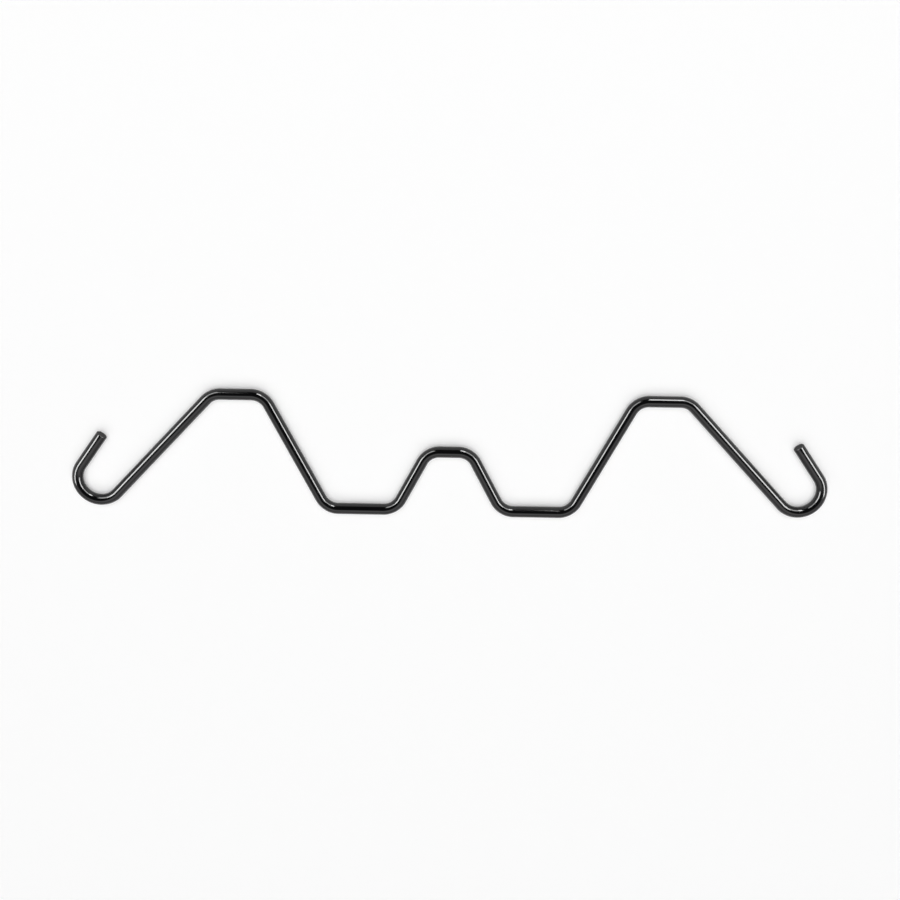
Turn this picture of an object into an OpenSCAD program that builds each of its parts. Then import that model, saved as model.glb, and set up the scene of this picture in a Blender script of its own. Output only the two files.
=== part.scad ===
// Zigzag wire spring: one round wire bent flat into a middle crest, two valleys,
// two side crests and two sloping arms that end in open hooks.
// It lies on its side: X runs from hook to hook, Y from the valleys to the crests,
// and Z is the thickness of the wire. The origin is under the middle of its box.

/* [Wire] */
// Diameter of the wire
wire_d = 4; // [2:0.1:6]
// Radius on the inside of every zigzag bend
bend_inside_r = 5; // [3:0.5:7]
// Length of the bevel round each cut end
end_bevel = 0.5; // [0.1:0.1:0.8]
// Extra thickness of the wire in its bends, where the enamel gathers
bend_swell = 0.02; // [0.01:0.01:0.1]

/* [Zigzag] */
// Angle of the four inner legs from the valley line, in degrees
leg_deg = 62; // [50:1:70]
// Height of the middle crest above the valleys, along the wire's axis
mid_crest_h = 21.5; // [16:0.5:35]
// Length of the middle crest from corner to corner
mid_crest_w = 15; // [12:0.5:30]
// Length of each valley from corner to corner
valley_w = 24.5; // [16:0.5:50]
// Height of the two side crests above the valleys, along the wire's axis
side_crest_h = 41; // [30:0.5:70]
// Length of each side crest from corner to corner
side_crest_w = 18; // [12:0.5:40]

/* [Arms and hooks] */
// Angle of the two outer arms from the valley line, in degrees
arm_deg = 46.5; // [35:0.5:60]
// Height of the lowest point of each hook above the valleys, along the wire's axis
hook_lift = 1.75; // [0:0.25:8]
// Radius on the inside of each hook
hook_inside_r = 6; // [4:0.5:9]
// Angle that each hook turns back through, in degrees
hook_turn_deg = 172; // [120:1:178]
// Length of the straight tip beyond each hook
tip_l = 14; // [3:0.5:18]

/* [Hidden] */
$fn = 64;

bend_r = bend_inside_r + wire_d / 2;
hook_r = hook_inside_r + wire_d / 2;

// The length that a bend takes from each of the two straights that meet at its corner
function bend_reach(deg) = bend_r * tan(deg / 2);
// The straight that is left of a sloping leg between two corners
function leg_straight(rise) = rise / sin(leg_deg) - 2 * bend_reach(leg_deg);

arm_drop = side_crest_h - hook_lift - hook_r * (1 - cos(arm_deg));
arm_straight = arm_drop / sin(arm_deg) - bend_reach(arm_deg);
mid_half_straight = mid_crest_w / 2 - bend_reach(leg_deg);

// How far a straight runs on inside the thicker bend that it meets
lap = 0.4 * sqrt(min(bend_inside_r, hook_inside_r) * bend_swell);

// One half of the wire from the middle of the middle crest, in the order of bending:
// each step is a straight, the turn after it (left is positive) and the turn's radius
bends = [
    [mid_half_straight, -leg_deg, bend_r],
    [leg_straight(mid_crest_h), leg_deg, bend_r],
    [valley_w - 2 * bend_reach(leg_deg), leg_deg, bend_r],
    [leg_straight(side_crest_h), -leg_deg, bend_r],
    [side_crest_w - bend_reach(leg_deg) - bend_reach(arm_deg), -arm_deg, bend_r],
    [arm_straight, hook_turn_deg, hook_r],
];

// The directions along the wire and to its left, at a heading in degrees from +X
function along(deg) = [cos(deg), sin(deg), 0];
function left_of(deg) = [-sin(deg), cos(deg), 0];

// Where each step starts and heads, and the centre that its turn goes round
function heading(step) = step == 0 ? 0 : heading(step - 1) + bends[step - 1][1];
function to_centre(step, deg) = sign(bends[step][1]) * bends[step][2] * left_of(deg);
function centre(step) =
    start(step) + bends[step][0] * along(heading(step)) + to_centre(step, heading(step));
function start(step) =
    step == 0 ? [0, 0, 0] : centre(step - 1) - to_centre(step - 1, heading(step));

// Lays what is drawn along +Z along the wire from where a step starts
module from_start_of(step) {
    translate(start(step))
        rotate([0, 0, heading(step)])
            rotate([0, 90, 0]) children();
}

module straight(step) {
    from_start_of(step)
        translate([0, 0, -lap]) cylinder(d = wire_d, h = bends[step][0] + 2 * lap);
}

module turn(step) {
    deg = bends[step][1];
    first = heading(step) - sign(deg) * 90 + min(deg, 0);
    translate(centre(step))
        rotate([0, 0, first])
            rotate_extrude(angle = abs(deg))
                translate([bends[step][2], 0]) circle(d = wire_d + bend_swell);
}

// The straight tip beyond the hook, bevelled where the wire is cut
module tip() {
    from_start_of(len(bends))
        rotate_extrude()
            polygon([
                [0, -lap],
                [wire_d / 2, -lap],
                [wire_d / 2, tip_l - end_bevel],
                [wire_d / 2 - end_bevel, tip_l],
                [0, tip_l],
            ]);
}

module half_wire() {
    turn(0);
    for (step = [1 : len(bends) - 1]) {
        straight(step);
        turn(step);
    }
    tip();
}

module middle_straight() {
    length = 2 * (mid_half_straight + lap);
    rotate([0, 90, 0]) cylinder(d = wire_d, h = length, center = true);
}

module zigzag_wire() {
    color([0.03, 0.03, 0.035])
        translate([0, mid_crest_h - side_crest_h / 2, (wire_d + bend_swell) / 2]) {
            middle_straight();
            half_wire();
            mirror([1, 0, 0]) half_wire();
        }
}

zigzag_wire();
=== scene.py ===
import math

import bmesh
import bpy
from mathutils import Matrix, Vector


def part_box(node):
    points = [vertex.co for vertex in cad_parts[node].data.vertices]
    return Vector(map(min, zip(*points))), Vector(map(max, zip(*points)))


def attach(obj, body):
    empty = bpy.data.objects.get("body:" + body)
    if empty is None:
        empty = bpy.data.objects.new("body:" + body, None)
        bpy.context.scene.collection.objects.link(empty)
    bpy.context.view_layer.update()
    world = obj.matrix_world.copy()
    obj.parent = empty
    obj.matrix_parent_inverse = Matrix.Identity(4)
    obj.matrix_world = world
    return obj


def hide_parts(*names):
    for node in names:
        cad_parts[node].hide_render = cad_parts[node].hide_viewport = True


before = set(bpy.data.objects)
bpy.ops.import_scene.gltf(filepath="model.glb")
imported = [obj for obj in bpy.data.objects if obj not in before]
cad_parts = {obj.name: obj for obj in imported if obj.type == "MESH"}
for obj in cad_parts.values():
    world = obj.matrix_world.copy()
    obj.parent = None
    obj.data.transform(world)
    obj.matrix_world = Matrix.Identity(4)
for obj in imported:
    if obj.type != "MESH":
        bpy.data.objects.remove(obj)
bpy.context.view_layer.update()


# the bent wire, in metres and degrees, from the middle of the middle crest out to a tip
wireForm = {
    "wireRadius": 0.002,
    "bendRadius": 0.007,       # of the wire's axis
    "hookRadius": 0.008,
    "legAngle": 62,
    "armAngle": 46.5,
    "midCrestHeight": 0.0215,  # heights are above the valleys, along the axis
    "midCrestWidth": 0.015,
    "valleyWidth": 0.0245,
    "sideCrestHeight": 0.041,
    "sideCrestWidth": 0.018,
    "hookLift": 0.00175,
    "hookTurn": 172,
    "tipLength": 0.014,
    "cutRounding": 0.0005,     # radius of the rounded edge of a cut end
    "cutRoundingSteps": 5,
    "cutCrown": 0.00008,       # how far the cut face stands proud in its middle
    "crownWidth": 0.0006,      # width of the ring in which the face starts to rise
    "crownShoulder": 0.6,      # share of the crown's height that the ring makes
    "sides": 56,               # faces round the wire
    "stepAngle": 2.5,          # one ring of faces for so much bend
    "stepLength": 0.003,       # and for so much straight
    "bendSqueeze": 0.018,      # how much flatter the section gets in the middle of a bend
    "mergeDistance": 1e-6,     # points closer than this are joined where the two halves meet
}


def bendReach(turn):
    # what a bend takes from each of the two straights that meet at its corner
    return wireForm["bendRadius"] * math.tan(math.radians(turn) / 2)


def legStraight(rise):
    leg = wireForm["legAngle"]
    return rise / math.sin(math.radians(leg)) - 2 * bendReach(leg)


def bendingSteps():
    # straight, turn after it (left is positive), radius of the turn
    leg, arm = wireForm["legAngle"], wireForm["armAngle"]
    bend, hook = wireForm["bendRadius"], wireForm["hookRadius"]
    hookRise = wireForm["hookLift"] + hook * (1 - math.cos(math.radians(arm)))
    armLength = (wireForm["sideCrestHeight"] - hookRise) / math.sin(math.radians(arm))
    return [
        (wireForm["midCrestWidth"] / 2 - bendReach(leg), -leg, bend),
        (legStraight(wireForm["midCrestHeight"]), leg, bend),
        (wireForm["valleyWidth"] - 2 * bendReach(leg), leg, bend),
        (legStraight(wireForm["sideCrestHeight"]), -leg, bend),
        (wireForm["sideCrestWidth"] - bendReach(leg) - bendReach(arm), -arm, bend),
        (armLength - bendReach(arm), wireForm["hookTurn"], hook),
    ]


def wireLength():
    # from the middle of the middle crest to a tip
    length = wireForm["tipLength"]
    for straight, turn, radius in bendingSteps():
        length += straight + math.radians(abs(turn)) * radius
    return length


def aheadOf(wire):
    return Vector((math.cos(wire["heading"]), math.sin(wire["heading"]), 0))


def leftOf(wire):
    return Vector((-math.sin(wire["heading"]), math.cos(wire["heading"]), 0))


def newRim(grown):
    # the points and the open edge of what an operator has just grown
    verts = [item for item in grown if isinstance(item, bmesh.types.BMVert)]
    edges = [item for item in grown if isinstance(item, bmesh.types.BMEdge)]
    known = set(verts)
    return verts, [edge for edge in edges if known.issuperset(edge.verts)]


def growStraight(wire, length):
    # rings of even length, so that the shading of a long straight stays even
    rings = max(1, round(length / wireForm["stepLength"]))
    step = aheadOf(wire) * (length / rings)
    for ring in range(rings):
        grown = bmesh.ops.extrude_edge_only(wire["mesh"], edges=wire["rim"])["geom"]
        verts, wire["rim"] = newRim(grown)
        bmesh.ops.translate(wire["mesh"], verts=verts, vec=step)
        wire["run"] += length / rings
        for vert in verts:
            vert[wire["unbent"]] = Vector((*vert[wire["unbent"]].xy, wire["run"]))
        wire["spot"] += step


def growBend(wire, turn, radius):
    angle = math.radians(turn)
    inward = leftOf(wire) * math.copysign(1, turn)
    centre = wire["spot"] + inward * radius
    before = set(wire["mesh"].verts)
    steps = max(2, round(abs(turn) / wireForm["stepAngle"]))
    # each point once, in a fixed order
    rimVerts = list(dict.fromkeys(vert for edge in wire["rim"] for vert in edge.verts))
    last = bmesh.ops.spin(
        wire["mesh"], geom=[*rimVerts, *wire["rim"]], cent=centre, axis=(0, 0, 1), dvec=(0, 0, 0),
        angle=angle, steps=steps, use_merge=False, use_normal_flip=False, use_duplicate=False,
    )["geom_last"]
    # the section flattens a little on its way round the bend, as it does on a bending pin
    for vert in wire["mesh"].verts:
        if vert in before:
            continue
        spoke = vert.co - centre
        spoke.z = 0
        share = min(1, spoke.angle(-inward) / abs(angle))
        squeeze = 1 - wireForm["bendSqueeze"] * math.sin(math.pi * share)
        reach = spoke.length
        vert.co += spoke * ((radius + (reach - radius) * squeeze) / reach - 1)
        run = wire["run"] + share * abs(angle) * radius
        vert[wire["unbent"]] = Vector((*vert[wire["unbent"]].xy, run))
    wire["run"] += abs(angle) * radius
    wire["rim"] = newRim(last)[1]
    wire["heading"] += angle
    wire["spot"] = centre + Matrix.Rotation(angle, 3, "Z") @ (-inward * radius)


def closeTip(wire):
    mesh, unbent = wire["mesh"], wire["unbent"]
    before = set(mesh.verts) - {vert for edge in wire["rim"] for vert in edge.verts}
    cut = bmesh.ops.contextual_create(mesh, geom=wire["rim"])["faces"][0]
    bmesh.ops.bevel(
        mesh, geom=list(cut.edges), affect="EDGES", offset_type="OFFSET",
        offset=wireForm["cutRounding"], segments=wireForm["cutRoundingSteps"],
        profile=0.5, material=-1, clamp_overlap=True,
    )
    ahead, aside = aheadOf(wire), leftOf(wire)
    # the flat face that the bevel leaves is the one furthest ahead
    tipFaces = [face for face in mesh.faces if before.isdisjoint(face.verts)]
    cut = max(tipFaces, key=lambda face: face.calc_center_median().dot(ahead))
    ringRise = wireForm["cutCrown"] * wireForm["crownShoulder"]
    bmesh.ops.inset_region(mesh, faces=[cut], thickness=wireForm["crownWidth"], depth=ringRise)
    bmesh.ops.poke(mesh, faces=[cut], offset=wireForm["cutCrown"] - ringRise)
    for vert in mesh.verts:
        if vert in before:
            continue
        place = vert.co - wire["spot"]
        vert[unbent] = Vector((place.dot(aside), place.z, wire["run"] + place.dot(ahead)))


def bentWireMesh():
    low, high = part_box("zigzag_wire")
    aboveMiddle = wireForm["midCrestHeight"] - wireForm["sideCrestHeight"] / 2
    start = Vector((0, aboveMiddle, (low.z + high.z) / 2))
    mesh = bmesh.new()
    # each point also keeps its place on the wire as if it were straight: across, up and along it
    unbent = mesh.verts.layers.float_vector.new("unbent")
    facingX = Matrix.Translation(start) @ Matrix.Rotation(math.pi / 2, 4, "Y")
    bmesh.ops.create_circle(
        mesh, cap_ends=False, segments=wireForm["sides"],
        radius=wireForm["wireRadius"], matrix=facingX,
    )
    for vert in mesh.verts:
        vert[unbent] = Vector((vert.co.y - start.y, vert.co.z - start.z, 0))
    # what grows: where its open end is, which way it heads and how much wire lies behind it
    wire = {
        "mesh": mesh,
        "unbent": unbent,
        "rim": list(mesh.edges),
        "spot": start,
        "heading": 0.0,
        "run": 0.0,
    }
    for length, turn, radius in bendingSteps():
        growStraight(wire, length)
        growBend(wire, turn, radius)
    growStraight(wire, wireForm["tipLength"])
    closeTip(wire)

    # the other half is its mirror image
    merge = wireForm["mergeDistance"]
    bmesh.ops.mirror(
        mesh, geom=[*mesh.verts, *mesh.edges, *mesh.faces],
        matrix=Matrix.Identity(4), merge_dist=merge, axis="X",
    )
    bmesh.ops.remove_doubles(mesh, verts=mesh.verts, dist=merge)
    bmesh.ops.recalc_face_normals(mesh, faces=mesh.faces)
    return mesh


def asPiece(mesh, name, material):
    data = bpy.data.meshes.new(name)
    mesh.to_mesh(data)
    mesh.free()
    data.shade_smooth()
    data.materials.append(material)
    piece = bpy.data.objects.new(name, data)
    bpy.context.scene.collection.objects.link(piece)
    return piece


# gloss black enamel, with sizes in metres
enamel = {
    "black": (0.0025, 0.0025, 0.0028, 1),
    "blackThin": (0.0042, 0.0042, 0.0046, 1),  # where the coat is thinner
    "refraction": 1.46,
    "roughnessLow": 0.06,
    "roughnessHigh": 0.11,
    "cloudScale": 90,         # patches of thicker and thinner coat
    "cloudDetail": 4,
    "drawLines": 2600,        # faint lines of the drawn wire under the coat, per metre
    "drawStretch": 0.02,      # share of that number lengthwise, so that the lines follow the wire
    "drawDetail": 2,
    "drawShare": 0.4,         # how much of the roughness they make, beside the patches
    "noiseSpan": (0.3, 0.7),  # the range of the noise that the roughness is spread over
    "peelSize": 0.0011,       # the ripple of the sprayed coat
    "peelDepth": 0.000007,
    "peelDetail": 1,
    "cutRoughness": 0.85,     # the cut ends are coated thinly and stay duller
}


def noiseOf(nodes, links, vector, scale, detail):
    noise = nodes.new("ShaderNodeTexNoise")
    noise.inputs["Scale"].default_value = scale
    noise.inputs["Detail"].default_value = detail
    links.new(vector, noise.inputs["Vector"])
    return noise.outputs["Fac"]


def blackEnamelMaterial():
    material = bpy.data.materials.new("blackEnamel")
    material.use_nodes = True
    nodes, links = material.node_tree.nodes, material.node_tree.links
    shader = nodes["Principled BSDF"]
    shader.inputs["IOR"].default_value = enamel["refraction"]

    unbent = nodes.new("ShaderNodeAttribute")
    unbent.attribute_name = "unbent"
    place = nodes.new("ShaderNodeTexCoord").outputs["Object"]
    cloud = noiseOf(nodes, links, place, enamel["cloudScale"], enamel["cloudDetail"])

    tint = nodes.new("ShaderNodeMix")
    tint.data_type = "RGBA"
    tint.inputs["A"].default_value = enamel["black"]
    tint.inputs["B"].default_value = enamel["blackThin"]
    links.new(cloud, tint.inputs["Factor"])
    links.new(tint.outputs["Result"], shader.inputs["Base Color"])

    streak = nodes.new("ShaderNodeMapping")
    streak.inputs["Scale"].default_value = (1, 1, enamel["drawStretch"])
    links.new(unbent.outputs["Vector"], streak.inputs["Vector"])
    drawn = noiseOf(nodes, links, streak.outputs["Vector"], enamel["drawLines"], enamel["drawDetail"])

    both = nodes.new("ShaderNodeMix")
    both.data_type = "FLOAT"
    both.inputs["Factor"].default_value = enamel["drawShare"]
    links.new(cloud, both.inputs["A"])
    links.new(drawn, both.inputs["B"])
    gloss = nodes.new("ShaderNodeMapRange")
    gloss.inputs["From Min"].default_value = enamel["noiseSpan"][0]
    gloss.inputs["From Max"].default_value = enamel["noiseSpan"][1]
    gloss.inputs["To Min"].default_value = enamel["roughnessLow"]
    gloss.inputs["To Max"].default_value = enamel["roughnessHigh"]
    links.new(both.outputs["Result"], gloss.inputs["Value"])

    # the rounded edge of a cut end is where the gloss gives way to the dull face
    along = nodes.new("ShaderNodeSeparateXYZ")
    links.new(unbent.outputs["Vector"], along.inputs["Vector"])
    onCut = nodes.new("ShaderNodeMapRange")
    onCut.inputs["From Min"].default_value = wireLength() - wireForm["cutRounding"]
    onCut.inputs["From Max"].default_value = wireLength()
    links.new(along.outputs["Z"], onCut.inputs["Value"])
    roughness = nodes.new("ShaderNodeMix")
    roughness.data_type = "FLOAT"
    links.new(onCut.outputs["Result"], roughness.inputs["Factor"])
    links.new(gloss.outputs["Result"], roughness.inputs["A"])
    roughness.inputs["B"].default_value = enamel["cutRoughness"]
    links.new(roughness.outputs["Result"], shader.inputs["Roughness"])

    ripple = nodes.new("ShaderNodeBump")
    ripple.inputs["Strength"].default_value = 1
    ripple.inputs["Distance"].default_value = enamel["peelDepth"]
    peel = noiseOf(nodes, links, place, 1 / enamel["peelSize"], enamel["peelDetail"])
    links.new(peel, ripple.inputs["Height"])
    links.new(ripple.outputs["Normal"], shader.inputs["Normal"])
    return material


blackEnamel = blackEnamelMaterial()
zigzagWire = asPiece(bentWireMesh(), "zigzagWire", blackEnamel)
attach(zigzagWire, "root")
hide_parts("zigzag_wire")
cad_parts["zigzag_wire"].data.materials.clear()
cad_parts["zigzag_wire"].data.materials.append(blackEnamel)
print("wire bent, faces", len(zigzagWire.data.polygons))


# floor, lamps and background
studio = {
    "floorSize": 14,
    "floorColour": (0.8, 0.8, 0.8, 1),
    "fibreColour": (0.808, 0.808, 0.808, 1),  # of the paler fibres in the paper
    "fibreScale": 300,
    "paperRoughness": 0.9,
    "paperGloss": 0.1,
    "floorLift": 0.21,         # brings the floor up to white near the wire
    "farLift": 1.0,            # and far from it, where the lamps are weak
    "liftSpread": (0.2, 2.5),  # distances between which the one passes into the other
    "softboxDistance": 2.0,
    # azimuth from the crests' side towards +X, angle from the zenith, both in degrees
    # none lies between about -20 and 8, so the left crest and the valleys get no bright line
    "softboxes": {
        "leftSoftbox": {"azimuth": -89, "fromZenith": 45, "size": (1.5, 0.64), "radiance": 20},
        "leftBackSoftbox": {"azimuth": -40, "fromZenith": 49, "size": (1.08, 0.64), "radiance": 9},
        "backSoftbox": {"azimuth": 16, "fromZenith": 51, "size": (0.42, 0.64), "radiance": 21},
        "rightBackSoftbox": {"azimuth": 40, "fromZenith": 49, "size": (1.08, 0.64), "radiance": 9},
        "rightSoftbox": {"azimuth": 89, "fromZenith": 45, "size": (1.5, 0.64), "radiance": 20},
    },
    "fillDistance": 2.2,
    "fill": {"azimuth": 0, "fromZenith": 8, "size": (2.4, 2.4), "radiance": 2.48},
    # the sky: a pale wall on the valleys' side, dark elsewhere, above a white horizon
    "wall": 1.6,               # how bright the wall is
    "room": 0.01,              # and the dark part
    "wallFoot": (0.4, 0.7),    # heights between which the wall brightens, as sines
    "wallTop": (-0.5, -0.2),   # how far towards the crests it fades, as a direction's Y
    "horizon": (0.36, 0.52),   # heights between which the white horizon fades, as sines
}


def seenDirectly(nodes, links):
    # 1 for what the camera sees, by itself or in gloss and glass,
    # and 0 for the light that falls on things
    path = nodes.new("ShaderNodeLightPath")
    shiny = nodes.new("ShaderNodeMath")
    shiny.operation = "MAXIMUM"
    links.new(path.outputs["Is Glossy Ray"], shiny.inputs[0])
    links.new(path.outputs["Is Transmission Ray"], shiny.inputs[1])
    seen = nodes.new("ShaderNodeMath")
    seen.operation = "MAXIMUM"
    links.new(path.outputs["Is Camera Ray"], seen.inputs[0])
    links.new(shiny.outputs["Value"], seen.inputs[1])
    return seen.outputs["Value"]


def smoothRange(nodes, links, value, fromRange, toRange):
    spread = nodes.new("ShaderNodeMapRange")
    spread.interpolation_type = "SMOOTHSTEP"
    spread.inputs["From Min"].default_value = fromRange[0]
    spread.inputs["From Max"].default_value = fromRange[1]
    spread.inputs["To Min"].default_value = toRange[0]
    spread.inputs["To Max"].default_value = toRange[1]
    links.new(value, spread.inputs["Value"])
    return spread.outputs["Result"]


def studioFloor():
    mesh = bmesh.new()
    bmesh.ops.create_grid(mesh, x_segments=1, y_segments=1, size=studio["floorSize"] / 2)
    material = bpy.data.materials.new("paleFloor")
    material.use_nodes = True
    nodes, links = material.node_tree.nodes, material.node_tree.links
    paper = nodes["Principled BSDF"]
    paper.inputs["Roughness"].default_value = studio["paperRoughness"]
    paper.inputs["Specular IOR Level"].default_value = studio["paperGloss"]
    paper.inputs["Emission Color"].default_value = (1, 1, 1, 1)

    place = nodes.new("ShaderNodeTexCoord").outputs["Object"]
    fibre = nodes.new("ShaderNodeTexNoise")
    fibre.inputs["Scale"].default_value = studio["fibreScale"]
    links.new(place, fibre.inputs["Vector"])
    tone = nodes.new("ShaderNodeMix")
    tone.data_type = "RGBA"
    tone.inputs["A"].default_value = studio["floorColour"]
    tone.inputs["B"].default_value = studio["fibreColour"]
    links.new(fibre.outputs["Fac"], tone.inputs["Factor"])
    links.new(tone.outputs["Result"], paper.inputs["Base Color"])

    # the lift lights nothing: it is only seen
    away = nodes.new("ShaderNodeVectorMath")
    away.operation = "LENGTH"
    links.new(place, away.inputs[0])
    lifts = (studio["floorLift"], studio["farLift"])
    liftAway = smoothRange(nodes, links, away.outputs["Value"], studio["liftSpread"], lifts)
    lift = nodes.new("ShaderNodeMath")
    lift.operation = "MULTIPLY"
    links.new(seenDirectly(nodes, links), lift.inputs[0])
    links.new(liftAway, lift.inputs[1])
    links.new(lift.outputs["Value"], paper.inputs["Emission Strength"])
    return asPiece(mesh, "studioFloor", material)


def areaLamp(name, values, distance):
    width, depth = values["size"]
    data = bpy.data.lights.new(name, "AREA")
    data.shape = "RECTANGLE"
    data.size = width
    data.size_y = depth
    data.energy = values["radiance"] * math.pi * width * depth
    around, down = math.radians(values["azimuth"]), math.radians(values["fromZenith"])
    level = math.sin(down)
    back = Vector((math.sin(around) * level, math.cos(around) * level, math.cos(down)))
    lamp = bpy.data.objects.new(name, data)
    lamp.location = back * distance
    lamp.rotation_euler = back.to_track_quat("Z", "Y").to_euler()
    lamp.visible_camera = False
    bpy.context.scene.collection.objects.link(lamp)
    return lamp


def studioLamps():
    # the softboxes only draw the bright line along the gloss, and the fill lights the floor
    for name, values in studio["softboxes"].items():
        lamp = areaLamp(name, values, studio["softboxDistance"])
        lamp.visible_diffuse = False
    fillLamp = areaLamp("fillLamp", studio["fill"], studio["fillDistance"])
    fillLamp.visible_glossy = False


def studioWorld():
    world = bpy.data.worlds.new("studioWorld")
    bpy.context.scene.world = world
    world.use_nodes = True
    nodes, links = world.node_tree.nodes, world.node_tree.links
    sky = nodes["Background"]
    direction = nodes.new("ShaderNodeTexCoord")
    parts = nodes.new("ShaderNodeSeparateXYZ")
    links.new(direction.outputs["Generated"], parts.inputs["Vector"])

    foot = smoothRange(nodes, links, parts.outputs["Z"], studio["wallFoot"], (0, 1))
    wallOverRoom = studio["wall"] - studio["room"]
    top = smoothRange(nodes, links, parts.outputs["Y"], studio["wallTop"], (wallOverRoom, 0))
    level = nodes.new("ShaderNodeMath")
    level.operation = "MULTIPLY_ADD"
    links.new(foot, level.inputs[0])
    links.new(top, level.inputs[1])
    level.inputs[2].default_value = studio["room"]

    band = smoothRange(nodes, links, parts.outputs["Z"], studio["horizon"], (1, 0))
    horizon = nodes.new("ShaderNodeMath")
    horizon.operation = "MULTIPLY"
    links.new(band, horizon.inputs[0])
    links.new(seenDirectly(nodes, links), horizon.inputs[1])
    both = nodes.new("ShaderNodeMath")
    both.operation = "MAXIMUM"
    links.new(level.outputs["Value"], both.inputs[0])
    links.new(horizon.outputs["Value"], both.inputs[1])
    links.new(both.outputs["Value"], sky.inputs["Color"])


studioFloor()
studioLamps()
studioWorld()
print("studio set")


# the camera, tilted from straight above towards the crests: the photograph's angle to the wire
view = {
    "tilt": 15,        # in degrees, as the next two
    "turn": 0.57,
    "roll": 1.035,
    "distance": 0.4365,
    "aim": (0.0003, 0.0018, 0.002),
    "pixels": 900,     # width of the picture
    "pixelsOfFocalLength": 1240,
    "sensor": 36,      # in millimetres, as Blender gives lenses
    "nearEnd": 0.01,
}


def photoCamera():
    data = bpy.data.cameras.new("photoCamera")
    data.sensor_width = view["sensor"]
    data.lens = view["sensor"] * view["pixelsOfFocalLength"] / view["pixels"]
    data.clip_start = view["nearEnd"]
    camera = bpy.data.objects.new("photoCamera", data)
    tilted = Matrix.Rotation(-math.radians(view["tilt"]), 3, "X")
    turned = Matrix.Rotation(math.radians(view["turn"]), 3, "Y")
    rolled = Matrix.Rotation(math.radians(view["roll"]), 3, "Z")
    facing = tilted @ turned @ rolled
    camera.location = Vector(view["aim"]) + facing.col[2] * view["distance"]
    camera.rotation_euler = facing.to_euler()
    bpy.context.scene.collection.objects.link(camera)
    bpy.context.scene.camera = camera


photoCamera()
bpy.context.scene.view_settings.view_transform = "Standard"
print("camera set")
